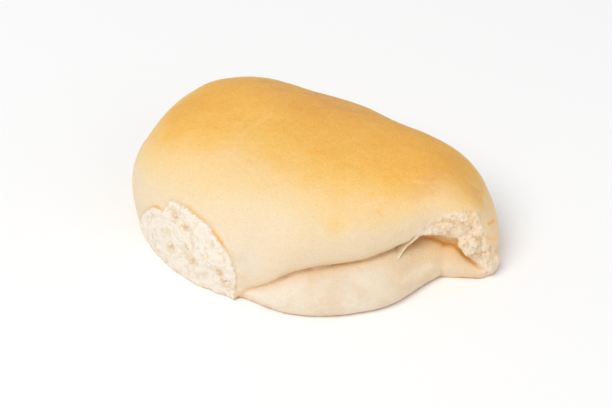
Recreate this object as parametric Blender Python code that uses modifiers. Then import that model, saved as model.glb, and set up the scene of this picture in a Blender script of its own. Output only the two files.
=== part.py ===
"""Coco bread: a soft round of dough folded over on itself and baked against its neighbours.

Metres, +Z up. X runs along the loaf from its broad left end to its pointed right corner, and the open
edge of the fold faces -Y. The bread rests on its flat sole at Z = 0.
"""

import math

import bmesh
import bpy
import numpy as np
from mathutils import Matrix, Vector, noise

MM = 0.001

# Driving sizes, in millimetres.
SPINE = [(-20.0, 16.0, 51.6), (24.0, 2.0, 46.8)]  # the crown's line along the flap, as x, y, z
SPINE_SQUEEZE = 0.42  # the share of the outline's length that the crown keeps
BELOW_SOLE = -4.0  # every body is modelled down to here, then cut flat at zero
EDGE_COUNT = 150  # points round each body's outline

# The upper half, anticlockwise from the right corner. Each station of its outline holds x, y, the height
# where the side is widest, the height of its lower edge, how far that edge tucks in, and how square the
# shoulder is (2 is an ellipse).
FLAP = [
    (73.5, -20, 11, -3, 7, 2.1),
    (72, -8, 14, -2, 8, 2.1),
    (66.5, 4.5, 17, -2, 10, 2.1),
    (56.5, 14, 19, -2, 10, 2.0),
    (41, 22.5, 21, -2, 10, 2.0),
    (20, 36.5, 22, -2, 10, 2.1),
    (-4, 48.5, 22, -2, 10, 2.2),
    (-27, 55, 22, -2, 10, 2.3),
    (-48, 51.5, 22, -2, 10, 2.3),
    (-60.5, 38, 22, -2, 10, 2.2),
    (-69, 21, 22, -2, 10, 2.1),
    (-74, 3, 21, -3, 8, 2.3),
    (-69.5, -12, 18, -4, 6, 2.6),
    (-59.5, -26.3, 14, -4, 5, 2.8),
    (-45.5, -38.3, 12, -4, 5, 2.8),
    (-31.5, -46, 10, -2, 5, 2.6),
    (-15, -48.5, 11, 5.5, 8, 2.5),
    (4, -45.5, 15.5, 10.5, 12, 2.5),
    (20, -42.5, 17.5, 11.5, 12, 2.5),
    (34, -36.5, 19.5, 13.5, 13, 2.5),
    (46, -31, 22.5, 18.5, 13, 2.5),
    (54, -31, 22.5, 18.5, 13, 2.5),
    (59.5, -32, 20, 13, 10, 2.4),
    (65, -32, 15, 4, 6, 2.4),
    (70.5, -28, 11, -3, 5, 2.2),
]

# The lower half: x, y, the height where it is widest, its height behind the lip, and the depth over which
# the lip rounds off. The tongue is its broad front, and the heel the corner that shows past its right end.
TONGUE = [
    (57, -18, 5, 12, 8),
    (48, 0, 4, 12, 12),
    (20, 20, 4, 12, 12),
    (-30, 30, 4, 12, 12),
    (-56, 14, 4, 12, 12),
    (-56, -14, 4, 10, 12),
    (-42, -36, 4, 7, 10),
    (-26, -48, 4, 7, 10),
    (-13, -55.5, 4, 11, 14),
    (2, -58, 4, 12, 15),
    (18, -56, 4, 13.5, 16),
    (31.5, -50.5, 4, 14.5, 18),
    (43, -40, 4, 13, 16),
    (54, -29.5, 4, 13, 11),
]
TONGUE_POLE = (6.0, -10.0)
TONGUE_MIDDLE = 12.0
HEEL = [
    (73.5, -26, 4, 8, 6),
    (68, -4, 4, 10, 10),
    (44, 6, 4, 12, 12),
    (30, -12, 4, 12, 12),
    (42, -31, 4, 12, 8),
    (54, -34, 4, 9, 6),
    (68, -34, 4, 6, 5),
]
HEEL_POLE = (54.0, -14.0)
HEEL_MIDDLE = 12.0

# Broad swells and hollows of the flap's top: x, y, reach and height.
SWELLS = [
    (-26, 34, 22, 2.5),
    (2, 40, 9, -0.8),
    (20, 26, 14, 2.0),
    (36, 18, 8, -1.2),
    (52, 6, 14, 1.0),
]

# The torn face at the left, where the bread broke away from its neighbour: a near-vertical plane through
# LEFT_TEAR_AT, running along LEFT_TEAR_WAY, and its outline in that plane as (along, height).
LEFT_TEAR_AT = (-68.0, -17.0)
LEFT_TEAR_WAY = (0.78, -0.625)
LEFT_TEAR = [
    (-9, -6), (-8, 9), (-4, 18), (4, 25.5), (11, 30.5), (17, 32.5), (22, 32.5), (28, 31.5),
    (34, 29), (40, 25), (45, 19.5), (48, 11), (47, 4), (47, -6),
]
# The torn edge of the flap at the right, as (x, height): its crest, then back along its lower edge.
RIGHT_TEAR = [
    (35, 20), (38, 25.5), (41, 27.5), (47, 29.5), (53, 30.5), (60.5, 27), (66.5, 22), (70, 15), (71, 8),
    (69, 3), (65, 6), (60, 13), (55, 18.5), (46, 19), (38, 17),
]
TEAR_FACING = 0.1  # the skin turned at least this far towards a tear's side takes part in it
TEAR_WANDER = 1.2  # how far a tear's rim strays from its outline, and over what distance
TEAR_WANDER_REACH = 5.0
TEAR_RIM = (-0.4, 1.6)  # depths inside the rim between which the crumb rises
TEAR_PROUD = 0.6  # how far the torn crumb stands out of the crust
TEAR_ROUGH = 1.1  # height of its lumps
TEAR_LUMP = 3.6  # their spacing
CHUNK = (58.5, -33.0, 17.5)  # a loose lump of crumb that hangs over the open corner of the fold
CHUNK_REACH = 3.6
CHUNK_PROUD = 2.4
CHUNK_ROUGH = 0.4  # share of its height that is uneven

CRUST_WAVE = 0.3  # the soft unevenness of the whole skin, and its spacing
CRUST_WAVE_REACH = 16.0
CREASE_DEPTH = 1.4  # how much deeper the folds are drawn in
CREASE_BEND = (0.02, 0.14)  # how far under its neighbours a point sits where a fold starts, and is full
CROWN_HEIGHTS = (30.0, 42.0)  # the skin is smoothed more and more between these heights
CROWN_PASSES = 60
SKIN_PASSES = 3  # how often the whole skin is evened out
HALF_WAY = 0.5  # the share of the way to its neighbours' average that a point moves in one pass
LUMP_LEVELS = (0.9, 2.1, 3)  # how fast finer lumps grow weaker, how much finer each level is, and the levels

VOXEL = 1.1  # the mesh that the relief is worked into
TRIANGLES = 10400  # what that mesh is reduced to before its sole is cut
TEAR_KEPT = 0.001  # how much longer the torn crumb keeps its faces than the skin

CRUST_COLOUR = (0.86, 0.52, 0.17, 1.0)  # golden crust
CRUST_ROUGHNESS = 0.6
SOLE_EDGE = math.radians(60)  # edges that turn by more than this are shaded sharp


def closed_curve(stations, count):
    """Rows evenly spaced along a smooth closed curve through the stations; further columns ride along."""
    rows = np.array(stations, float)
    steps = np.linspace(0, len(rows), len(rows) * 40, endpoint=False)
    at = np.floor(steps).astype(int)
    share = (steps - at)[:, None]
    before, start, end, after = (rows[(at + k) % len(rows)] for k in (-1, 0, 1, 2))
    fine = start + 0.5 * share * (
        end - before
        + share * (2 * before - 5 * start + 4 * end - after)
        + share**2 * (3 * (start - end) + after - before)
    )
    fine = np.vstack([fine, fine[:1]])
    travelled = np.concatenate([[0], np.cumsum(np.linalg.norm(np.diff(fine[:, :2], axis=0), axis=1))])
    marks = np.linspace(0, travelled[-1], count, endpoint=False)
    return np.stack([np.interp(marks, travelled, column) for column in fine.T])


def relaxed(rows, reach):
    """The closed curve's rows averaged along the curve, so that corners fade."""
    steps = np.arange(-reach, reach + 1)
    weights = 1 + np.cos(math.pi * steps / (reach + 1))
    return sum(w * np.roll(rows, step, axis=1) for w, step in zip(weights, steps)) / weights.sum()


def loft(name, rings, bottom, top):
    """A closed body through rings of equally many points, from the bottom point up to the top one.

    With no top point the last ring is closed by a face of its own.
    """
    mesh = bmesh.new()
    rows = [[mesh.verts.new(Vector(point) * MM) for point in ring.T] for ring in rings]
    low = mesh.verts.new(Vector(bottom) * MM)
    high = mesh.verts.new(Vector(top) * MM) if top else None
    count = len(rows[0])
    if not top:
        mesh.faces.new(rows[-1])
    for k in range(count):
        after = (k + 1) % count
        mesh.faces.new((low, rows[0][after], rows[0][k]))
        if top:
            mesh.faces.new((high, rows[-1][k], rows[-1][after]))
        for under, over in zip(rows, rows[1:]):
            mesh.faces.new((under[k], under[after], over[after], over[k]))
    data = bpy.data.meshes.new(name)
    mesh.to_mesh(data)
    mesh.free()
    made = bpy.data.objects.new(name, data)
    bpy.context.scene.collection.objects.link(made)
    return made


def ring_at(x, y, pole, inward, height):
    """One ring: the outline moved towards the pole by a share of the way, at the given heights."""
    return np.stack([x + (pole[0] - x) * inward, y + (pole[1] - y) * inward, height])


def along_spine(x, y):
    """For each outline point the point of the crown's line that it rises to, as x, y and z."""
    start, end = (np.array(point) for point in SPINE)
    length = np.hypot(*(end - start)[:2])
    way = (end - start)[:2] / length
    share = 0.5 + SPINE_SQUEEZE * (((x - start[0]) * way[0] + (y - start[1]) * way[1]) / length - 0.5)
    return [start[k] + (end[k] - start[k]) * share for k in range(3)]


def make_flap():
    """The upper half: a tucked lower edge, a widest line and a crown with squarish shoulders."""
    stations = closed_curve(FLAP, EDGE_COUNT)
    round_stations = relaxed(stations, EDGE_COUNT // 8)
    x, y, widest, edge, tuck, square = stations
    pole = [sum(ends) / 2 for ends in zip(*SPINE)]
    reach = np.hypot(x - pole[0], y - pole[1])
    rings = []
    for share in (0.75, 0.5, 0.25):  # the hidden underside
        inward = tuck / reach * (1 - share) + share
        rings.append(ring_at(x, y, pole, inward, edge * (1 - share) + BELOW_SOLE * share))
    for turn in np.linspace(math.pi / 2, 0, 9):
        inward = tuck / reach * (1 - math.cos(turn))
        rings.append(ring_at(x, y, pole, inward, widest - (widest - edge) * math.sin(turn)))
    for turn in np.linspace(0, math.pi / 2, 27)[1:-1]:
        fade = math.sin(turn) ** 2
        x, y, widest, _, _, square = stations * (1 - fade) + round_stations * fade
        inward = 1 - math.cos(turn) ** (2 / square)
        rise = math.sin(turn) ** (2 / square)
        spine_x, spine_y, crown = along_spine(x, y)
        ring = ring_at(x, y, (spine_x, spine_y), inward, widest + (crown - widest) * rise)
        for swell_x, swell_y, swell_reach, height in SWELLS:
            apart = np.hypot(ring[0] - swell_x, ring[1] - swell_y) / swell_reach
            ring[2] += height * rise * np.exp(-(apart**2))
        rings.append(ring)
    return loft("flap", rings, (pole[0], pole[1], BELOW_SOLE), None)


def make_pillow(name, stations, pole, middle):
    """One body of the lower half: a flat slab with a rounded lip all round."""
    x, y, widest, top, rounding = closed_curve(stations, EDGE_COUNT)
    reach = np.hypot(x - pole[0], y - pole[1])
    rings = []
    for turn in np.linspace(math.pi / 3, 0, 5):
        inward = rounding / reach * (1 - math.cos(turn))
        rings.append(ring_at(x, y, pole, inward, widest + (BELOW_SOLE - widest) * math.sin(turn)))
    for turn in np.linspace(0, math.pi / 2, 11)[1:]:
        inward = rounding / reach * (1 - math.cos(turn))
        rings.append(ring_at(x, y, pole, inward, widest + (top - widest) * math.sin(turn)))
    for share in (0.25, 0.5, 0.75):
        inward = rounding / reach * (1 - share) + share
        rings.append(ring_at(x, y, pole, inward, top * (1 - share) + middle * share))
    return loft(name, rings, (*pole, BELOW_SOLE), (*pole, middle))


def evaluated_mesh(obj):
    """The object's mesh with its modifiers applied."""
    graph = bpy.context.evaluated_depsgraph_get()
    return bpy.data.meshes.new_from_object(obj.evaluated_get(graph))


def joined(name, body, others):
    """The body with the others fused to it by one Boolean union."""
    group = bpy.data.collections.new("fused")
    for other in others:
        group.objects.link(other)
    union = body.modifiers.new("fuse", "BOOLEAN")
    union.operation = "UNION"
    union.operand_type = "COLLECTION"
    union.collection = group
    bpy.context.view_layer.update()
    made = bpy.data.objects.new(name, evaluated_mesh(body))
    bpy.context.scene.collection.objects.link(made)
    for used in (body, *others):
        bpy.data.objects.remove(used)
    bpy.data.collections.remove(group)
    return made


def remeshed(obj, voxel):
    """The object's surface as an even mesh of small faces."""
    remesh = obj.modifiers.new("even", "REMESH")
    remesh.mode = "VOXEL"
    remesh.voxel_size = voxel * MM
    mesh = evaluated_mesh(obj)
    obj.modifiers.remove(remesh)
    obj.data = mesh


def even_out(points, edges, passes, share):
    """The rows moved towards their neighbours' average, each by its own share."""
    count = np.bincount(edges.ravel(), minlength=len(points))[:, None]
    for _ in range(passes):
        total = np.zeros_like(points)
        for axis in range(points.shape[1]):
            total[:, axis] = np.bincount(edges[:, 0], points[edges[:, 1], axis], len(points))
            total[:, axis] += np.bincount(edges[:, 1], points[edges[:, 0], axis], len(points))
        points = points + share * (total / count - points)
    return points


def depth_inside(outline, across, height):
    """How far each point lies inside a closed outline, in the same plane; negative outside."""
    corners = np.array(outline, float)
    points = np.stack([across, height], axis=1)
    nearest = np.full(len(points), np.inf)
    inside = np.zeros(len(points), bool)
    for start, end in zip(corners, np.roll(corners, -1, axis=0)):
        side = end - start
        share = np.clip((points - start) @ side / (side @ side), 0, 1)
        nearest = np.minimum(nearest, np.linalg.norm(points - start - share[:, None] * side, axis=1))
        crosses = (start[1] > height) != (end[1] > height)
        if start[1] != end[1]:
            inside ^= crosses & (across < start[0] + (height - start[1]) * side[0] / (end[1] - start[1]))
    return np.where(inside, nearest, -nearest)


def lumps(points, spacing):
    """Uneven heights about zero, in lumps of the given spacing with finer ones on them."""
    return np.array([noise.fractal(Vector(point) / spacing, *LUMP_LEVELS) for point in points])


def smooth_step(value, low, high):
    """Runs from 0 at low to 1 at high."""
    share = np.clip((value - low) / (high - low), 0, 1)
    return share * share * (3 - 2 * share)


def tear_depth(points, normals):
    """How far inside a torn area each point lies, negative outside both."""
    along = (points[:, 0] - LEFT_TEAR_AT[0]) * LEFT_TEAR_WAY[0]
    along += (points[:, 1] - LEFT_TEAR_AT[1]) * LEFT_TEAR_WAY[1]
    outward = normals[:, 0] * LEFT_TEAR_WAY[1] - normals[:, 1] * LEFT_TEAR_WAY[0]
    left = np.where(outward > TEAR_FACING, depth_inside(LEFT_TEAR, along, points[:, 2]), -np.inf)
    in_front = (normals[:, 1] < TEAR_FACING) & (points[:, 1] < HEEL_POLE[1])
    right = np.where(in_front, depth_inside(RIGHT_TEAR, points[:, 0], points[:, 2]), -np.inf)
    return np.maximum(left, right)


def array_of(items, key, columns, kind=float):
    """One row for each of the mesh's vertices or edges."""
    flat = np.empty(len(items) * columns, kind)
    items.foreach_get(key, flat)
    return flat.reshape(-1, columns)


def place(data, points):
    """Puts the mesh's vertices at the points, given in millimetres."""
    data.vertices.foreach_set("co", (points * MM).ravel())
    data.update()


def work_relief(obj):
    """Evens out the skin, draws the folds in and raises the torn crumb."""
    data = obj.data
    edges = array_of(data.edges, "vertices", 2, int)
    points = even_out(array_of(data.vertices, "co", 3) / MM, edges, SKIN_PASSES, HALF_WAY)
    crown = smooth_step(points[:, 2:], *CROWN_HEIGHTS)
    points = even_out(points, edges, CROWN_PASSES, HALF_WAY * crown)
    place(data, points)
    normals = array_of(data.vertices, "normal", 3)

    average = even_out(points, edges, 1, 1.0)
    bend = ((average - points) * normals).sum(axis=1)
    bend = np.clip(bend - CREASE_BEND[0], 0, 2 * CREASE_BEND[1])
    bend = even_out(bend[:, None], edges, SKIN_PASSES, HALF_WAY)[:, 0]
    fold = smooth_step(bend, 0, CREASE_BEND[1] - CREASE_BEND[0])
    wander = lumps(points, TEAR_WANDER_REACH)
    torn = smooth_step(tear_depth(points, normals) + TEAR_WANDER * wander, *TEAR_RIM)
    chunk = np.exp(-(np.linalg.norm(points - CHUNK, axis=1) / CHUNK_REACH) ** 2)

    rise = CRUST_WAVE * lumps(points, CRUST_WAVE_REACH)
    rise += torn * (TEAR_PROUD + TEAR_ROUGH * lumps(points, TEAR_LUMP))
    rise += CHUNK_PROUD * chunk * (1 + CHUNK_ROUGH * wander)
    rise -= CREASE_DEPTH * fold
    place(data, points + normals * rise[:, None])
    skin = obj.vertex_groups.new(name="skin")
    for index, share in enumerate(torn):
        skin.add([index], float(1 - share), "REPLACE")


def reduced(obj, triangles):
    """The object's mesh with fewer triangles, most of them where it bends."""
    obj.modifiers.new("split", "TRIANGULATE")
    fewer = obj.modifiers.new("fewer", "DECIMATE")
    fewer.vertex_group = "skin"
    fewer.vertex_group_factor = TEAR_KEPT
    fewer.ratio = triangles / sum(len(face.vertices) - 2 for face in obj.data.polygons)
    mesh = evaluated_mesh(obj)
    obj.modifiers.clear()
    obj.data = mesh


def cut_flat(obj):
    """Cuts the object flat at zero height and closes the cut as its sole."""
    mesh = bmesh.new()
    mesh.from_mesh(obj.data)
    everything = mesh.verts[:] + mesh.edges[:] + mesh.faces[:]
    cut = bmesh.ops.bisect_plane(
        mesh, geom=everything, dist=1e-7, plane_co=(0, 0, 0), plane_no=(0, 0, -1), clear_outer=True
    )
    rim = [piece for piece in cut["geom_cut"] if isinstance(piece, bmesh.types.BMEdge)]
    bmesh.ops.edgeloop_fill(mesh, edges=rim)
    bmesh.ops.recalc_face_normals(mesh, faces=mesh.faces[:])
    mesh.to_mesh(obj.data)
    mesh.free()


def centred(obj):
    """Moves the mesh so that the origin is at the middle of its plan, on the sole."""
    points = array_of(obj.data.vertices, "co", 3)
    middle = (points.min(axis=0) + points.max(axis=0)) / 2
    obj.data.transform(Matrix.Translation((-middle[0], -middle[1], 0)))


def crust_material():
    material = bpy.data.materials.new("baked dough")
    material.use_nodes = True
    shader = material.node_tree.nodes["Principled BSDF"]
    shader.inputs["Base Color"].default_value = CRUST_COLOUR
    shader.inputs["Roughness"].default_value = CRUST_ROUGHNESS
    return material


def main():
    for old in list(bpy.data.objects):
        bpy.data.objects.remove(old)
    bread_parts = bpy.data.collections.new("coco bread")
    bpy.context.scene.collection.children.link(bread_parts)
    tongue = make_pillow("tongue", TONGUE, TONGUE_POLE, TONGUE_MIDDLE)
    heel = make_pillow("heel", HEEL, HEEL_POLE, HEEL_MIDDLE)
    bread = joined("coco_bread", make_flap(), [tongue, heel])
    bread_parts.objects.link(bread)
    bpy.context.scene.collection.objects.unlink(bread)
    remeshed(bread, VOXEL)
    work_relief(bread)
    reduced(bread, TRIANGLES)
    cut_flat(bread)
    centred(bread)
    bread.data.materials.clear()
    bread.data.materials.append(crust_material())
    bread.data.shade_smooth()
    bread.data.set_sharp_from_angle(angle=SOLE_EDGE)


main()
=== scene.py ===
import math

import bmesh
import bpy
import numpy as np
from mathutils import Matrix, Vector, noise
from mathutils.bvhtree import BVHTree


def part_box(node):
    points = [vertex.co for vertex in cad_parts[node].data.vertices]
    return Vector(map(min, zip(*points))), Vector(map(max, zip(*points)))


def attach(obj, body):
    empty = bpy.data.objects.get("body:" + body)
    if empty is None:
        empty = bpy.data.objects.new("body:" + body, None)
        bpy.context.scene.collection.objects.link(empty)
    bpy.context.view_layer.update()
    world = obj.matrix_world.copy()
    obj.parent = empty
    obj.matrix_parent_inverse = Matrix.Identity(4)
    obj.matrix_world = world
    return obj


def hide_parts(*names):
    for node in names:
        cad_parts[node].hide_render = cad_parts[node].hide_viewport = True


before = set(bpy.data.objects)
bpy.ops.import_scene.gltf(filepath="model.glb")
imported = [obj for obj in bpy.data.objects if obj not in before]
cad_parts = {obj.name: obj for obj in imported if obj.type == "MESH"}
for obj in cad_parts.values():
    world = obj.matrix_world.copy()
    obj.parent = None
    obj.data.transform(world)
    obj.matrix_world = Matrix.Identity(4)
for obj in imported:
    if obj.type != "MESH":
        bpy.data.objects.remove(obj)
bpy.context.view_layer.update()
mm = 0.001
print("frame loaded")

# The dough is three overlapping bodies and a few round lumps of crumb (x, y, z, radius), fused into one
# even skin. Each stage of finer faces reaches so far from the folds and from the torn places.
form = {
    "belowSole": -4.0,
    "outlinePoints": 320, "curveSteps": 40,
    "voxel": 1.04,
    "evenShare": 0.5, "skinPasses": 3, "crownPasses": 72, "crownRise": (30, 42),
    "finer": [(2.8, 2.0), (1.4, 0.8)], "finerAbove": -1.5,
    "wave": 0.3, "waveReach": 16.0,
    "sharpAngle": 70.0,
    "lumps": [
        (58.3, -33.2, 17.7, 2.5), (60.0, -33.2, 15.8, 2.7), (61.4, -33.2, 17.6, 2.2),
        (68.4, -30.4, 5.6, 3.6), (70.2, -28.2, 6.2, 3.4),
    ],
    "lumpLevels": 14, "lumpSides": 24,
}
# The upper half. Its stations hold x, y, the height where the side is widest, the height of the lower edge,
# how far that edge tucks in, and how square the shoulder is. Swells hold x, y, reach and height.
flap = {
    "spine": [(-20, 16, 51.6), (24, 2, 46.8)], "spineSqueeze": 0.42,
    "underShares": (0.75, 0.5, 0.25, 0.08, 0.03), "underSteep": 0.35,
    "tuckRings": 15, "domeRings": 61, "relaxReach": 40,
    "swells": [(-26, 34, 22, 2.5), (2, 40, 9, -0.8), (20, 26, 14, 2.0), (36, 18, 8, -1.2), (52, 6, 14, 1.0)],
    "stations": [
        (73.3, -20, 11, -3, 7, 1.85), (72, -8, 14, -2, 8, 2.0), (66.5, 4.5, 17, -2, 10, 2.1),
        (56.5, 14, 19, -2, 10, 2.0), (41, 22.5, 21, -2, 10, 2.0), (20, 36.5, 22, -2, 10, 2.1),
        (-4, 48.5, 22, -2, 10, 2.2), (-27, 55, 22, -2, 10, 2.3), (-48, 51.5, 22, -2, 10, 2.3),
        (-60.5, 38, 22, -2, 10, 2.3), (-69, 21, 22, -2, 10, 2.2), (-74, 3, 21, -3, 8, 2.15),
        (-69.5, -12, 18, -4, 6, 2.6), (-59.5, -26.3, 14, -4, 5, 2.8), (-46, -39, 12, -4, 5, 2.8),
        (-31.5, -46.8, 10, -2, 5, 2.6), (-24.5, -47.3, 10.5, 2.5, 5, 2.5), (-17.3, -48.2, 13.5, 7.2, 6, 2.5),
        (-10, -47.8, 17.5, 11.3, 7, 2.5), (-2, -46.8, 18.8, 12.8, 8, 2.5), (8, -45, 19.2, 13.2, 10, 2.5),
        (20, -42.5, 20, 13.6, 10, 2.5), (34, -36.5, 22, 16.2, 8, 2.5), (40, -33.8, 22.5, 18.3, 7.5, 2.5),
        (46, -31.5, 22.5, 18.6, 7, 2.5), (54, -31.5, 22.3, 17.5, 6, 2.5), (59.5, -32, 19, 12, 6, 2.4),
        (63.8, -32.2, 15, 5, 5, 2.4), (67.8, -32.8, 10, -3, 4, 2.3), (71.2, -28.5, 9, -3, 4.5, 2.1),
    ],
}
# The lower half: the tongue in front and the heel at the right. Their stations hold x, y, the height where
# the lip is widest, the height behind it, and the depth of its rounding.
tongue = {
    "pole": (6, -10, 12), "swells": [(32.5, -35.5, 6.5, 1.9)],
    "stations": [
        (57, -18, 5, 12, 8), (48, 0, 4, 12, 12), (20, 20, 4, 12, 12), (-30, 30, 4, 12, 12),
        (-56, 14, 4, 12, 12), (-56, -14, 4, 10, 12), (-42, -36, 4, 7, 10), (-26, -48, 4, 7, 10),
        (-13, -55.5, 4, 12.6, 13), (2, -58, 4, 14.2, 14), (18, -56, 4, 15, 16), (31.5, -50.5, 4, 15.4, 18),
        (43, -40, 4, 13.7, 16), (54, -29.5, 4.5, 15, 10),
    ],
}
heel = {
    "pole": (54, -14, 12), "swells": [],
    "stations": [
        (73.5, -26, 4, 8, 6), (68, -4, 4, 10, 10), (44, 6, 4, 12, 12), (30, -12, 4, 12, 12),
        (42, -31, 4, 12, 8), (53, -34, 4, 13.4, 8.5), (57, -34.2, 4, 12.8, 8.5), (61, -34.2, 4, 8.6, 7),
        (67.5, -33.6, 3.5, 5, 5),
    ],
}
pillow = {
    "underTurn": 60.0, "underRings": 9, "lipRings": 21,
    "topShares": (0.25, 0.5, 0.75), "swellRise": (7, 12),
}


def smoothStep(value, low, high):
    share = np.clip((value - low) / (high - low), 0, 1)
    return share * share * (3 - 2 * share)


def atLeast(least, share):
    # a share from 0 to 1, brought into the range from the least to 1
    return least + (1 - least) * share


def closedCurve(stations, count):
    # rows evenly spaced along a smooth closed curve through the stations
    rows = np.array(stations, float)
    steps = np.linspace(0, len(rows), len(rows) * form["curveSteps"], endpoint=False)
    at = np.floor(steps).astype(int)
    share = (steps - at)[:, None]
    before, start, end, after = (rows[(at + k) % len(rows)] for k in (-1, 0, 1, 2))
    fine = start + 0.5 * share * (
        end - before + share * (2 * before - 5 * start + 4 * end - after)
        + share**2 * (3 * (start - end) + after - before)
    )
    fine = np.vstack([fine, fine[:1]])
    travelled = np.concatenate([[0], np.cumsum(np.linalg.norm(np.diff(fine[:, :2], axis=0), axis=1))])
    places = np.linspace(0, travelled[-1], count, endpoint=False)
    return np.stack([np.interp(places, travelled, column) for column in fine.T])


def relaxed(rows, reach):
    # the curve averaged along itself, so that corners fade
    steps = np.arange(-reach, reach + 1)
    weights = 1 + np.cos(math.pi * steps / (reach + 1))
    return sum(w * np.roll(rows, step, axis=1) for w, step in zip(weights, steps)) / weights.sum()


def ringAt(x, y, pole, inward, height):
    return np.stack([x + (pole[0] - x) * inward, y + (pole[1] - y) * inward, height])


def addSwells(ring, swells, share):
    for x, y, reach, height in swells:
        apart = np.hypot(ring[0] - x, ring[1] - y) / reach
        ring[2] += height * share * np.exp(-(apart**2))


def loft(rings, bottom, top):
    # points and faces of a closed body through the rings, the lowest ring first
    count = rings[0].shape[1]
    k = np.arange(count)
    after = (k + 1) % count
    points = np.vstack([ring.T for ring in rings] + [np.array([bottom, top], float)])
    low, high = len(rings) * count, len(rings) * count + 1
    faces = np.stack([np.full(count, low), after, k], 1).tolist()
    for level in range(0, low - count, count):
        faces += np.stack([level + k, level + after, level + count + after, level + count + k], 1).tolist()
    faces += np.stack([np.full(count, high), low - count + k, low - count + after], 1).tolist()
    return points, faces


def makeFlap():
    stations = closedCurve(flap["stations"], form["outlinePoints"])
    roundStations = relaxed(stations, flap["relaxReach"])
    x, y, widest, edge, tuck, _ = stations
    start, end = (np.array(point, float) for point in flap["spine"])
    pole = (start + end) / 2
    length = np.hypot(*(end - start)[:2])
    way = (end - start)[:2] / length
    reach = np.hypot(x - pole[0], y - pole[1])
    rings = []
    for share in flap["underShares"]:  # the underside, steep near the edge
        inward = tuck / reach * (1 - share) + share
        drop = share ** flap["underSteep"]
        rings.append(ringAt(x, y, pole, inward, edge * (1 - drop) + form["belowSole"] * drop))
    for turn in np.linspace(math.pi / 2, 0, flap["tuckRings"]):
        inward = tuck / reach * (1 - math.cos(turn))
        rings.append(ringAt(x, y, pole, inward, widest - (widest - edge) * math.sin(turn)))
    for turn in np.linspace(0, math.pi / 2, flap["domeRings"])[1:-1]:
        fade = math.sin(turn) ** 2
        x, y, widest, _, _, square = stations * (1 - fade) + roundStations * fade
        inward = 1 - math.cos(turn) ** (2 / square)
        rise = math.sin(turn) ** (2 / square)
        along = ((x - start[0]) * way[0] + (y - start[1]) * way[1]) / length
        along = 0.5 + flap["spineSqueeze"] * (along - 0.5)
        spineX, spineY, crown = (start[k] + (end[k] - start[k]) * along for k in range(3))
        ring = ringAt(x, y, (spineX, spineY), inward, widest + (crown - widest) * rise)
        addSwells(ring, flap["swells"], rise)
        rings.append(ring)
    return loft(rings, (pole[0], pole[1], form["belowSole"]), rings[-1].mean(axis=1))


def makePillow(body):
    # one body of the lower half: a slab with a rounded lip all round
    x, y, widest, top, rounding = closedCurve(body["stations"], form["outlinePoints"])
    pole = body["pole"]
    reach = np.hypot(x - pole[0], y - pole[1])
    rings = []
    for turn in np.linspace(math.radians(pillow["underTurn"]), 0, pillow["underRings"]):
        inward = rounding / reach * (1 - math.cos(turn))
        rings.append(ringAt(x, y, pole, inward, widest + (form["belowSole"] - widest) * math.sin(turn)))
    for turn in np.linspace(0, math.pi / 2, pillow["lipRings"])[1:]:
        inward = rounding / reach * (1 - math.cos(turn))
        rings.append(ringAt(x, y, pole, inward, widest + (top - widest) * math.sin(turn)))
    for share in pillow["topShares"]:
        inward = rounding / reach * (1 - share) + share
        rings.append(ringAt(x, y, pole, inward, top * (1 - share) + pole[2] * share))
    for ring in rings:
        addSwells(ring, body["swells"], smoothStep(ring[2], *pillow["swellRise"]))
    return loft(rings, (pole[0], pole[1], form["belowSole"]), pole)


def makeLump(x, y, z, radius):
    # a round lump of crumb
    around = np.linspace(0, 2 * math.pi, form["lumpSides"], endpoint=False)
    rings = []
    for turn in np.linspace(-math.pi / 2, math.pi / 2, form["lumpLevels"])[1:-1]:
        wide = radius * math.cos(turn)
        height = np.full(len(around), z + radius * math.sin(turn))
        rings.append(np.stack([x + wide * np.cos(around), y + wide * np.sin(around), height]))
    return loft(rings, (x, y, z - radius), (x, y, z + radius))


def meshOf(name, bodies):
    # one mesh of several closed bodies
    points, faces = [], []
    for bodyPoints, bodyFaces in bodies:
        first = sum(len(p) for p in points)
        faces += [[first + corner for corner in face] for face in bodyFaces]
        points.append(bodyPoints)
    mesh = bpy.data.meshes.new(name)
    mesh.from_pydata(np.vstack(points) * mm, [], faces)
    return mesh


def fusedMesh(mesh, voxel):
    # the outer surface of overlapping bodies, as an even mesh of small squares
    maker = bpy.data.objects.new("maker", mesh)
    bpy.context.scene.collection.objects.link(maker)
    remesh = maker.modifiers.new("even", "REMESH")
    remesh.mode = "VOXEL"
    remesh.voxel_size = voxel * mm
    fused = bpy.data.meshes.new_from_object(maker.evaluated_get(bpy.context.evaluated_depsgraph_get()))
    bpy.data.objects.remove(maker)
    return fused


def rowsOf(items, key, columns, kind=float):
    flat = np.empty(len(items) * columns, kind)
    items.foreach_get(key, flat)
    return flat.reshape(-1, columns)


def pointsOf(mesh):
    return rowsOf(mesh.vertices, "co", 3) / mm


def normalsOf(mesh):
    return rowsOf(mesh.vertices, "normal", 3)


def place(mesh, points):
    mesh.vertices.foreach_set("co", (points * mm).ravel())
    mesh.update()


def evenOut(points, edges, passes, share):
    # the rows moved towards their neighbours' average
    count = np.bincount(edges.ravel(), minlength=len(points))[:, None]
    for _ in range(passes):
        total = np.zeros_like(points)
        for axis in range(points.shape[1]):
            total[:, axis] = np.bincount(edges[:, 0], points[edges[:, 1], axis], len(points))
            total[:, axis] += np.bincount(edges[:, 1], points[edges[:, 0], axis], len(points))
        points = points + share * (total / count - points)
    return points


def lumps(points, spacing, levels=3, where=None):
    # uneven heights about zero, in lumps of the given spacing with finer and fainter ones on them
    fading, closer = 0.9, 2.1
    found = np.zeros(len(points))
    chosen = np.arange(len(points)) if where is None else np.where(where)[0]
    for index in chosen:
        found[index] = noise.fractal(Vector(points[index]) / spacing, fading, closer, levels)
    return found


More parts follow.
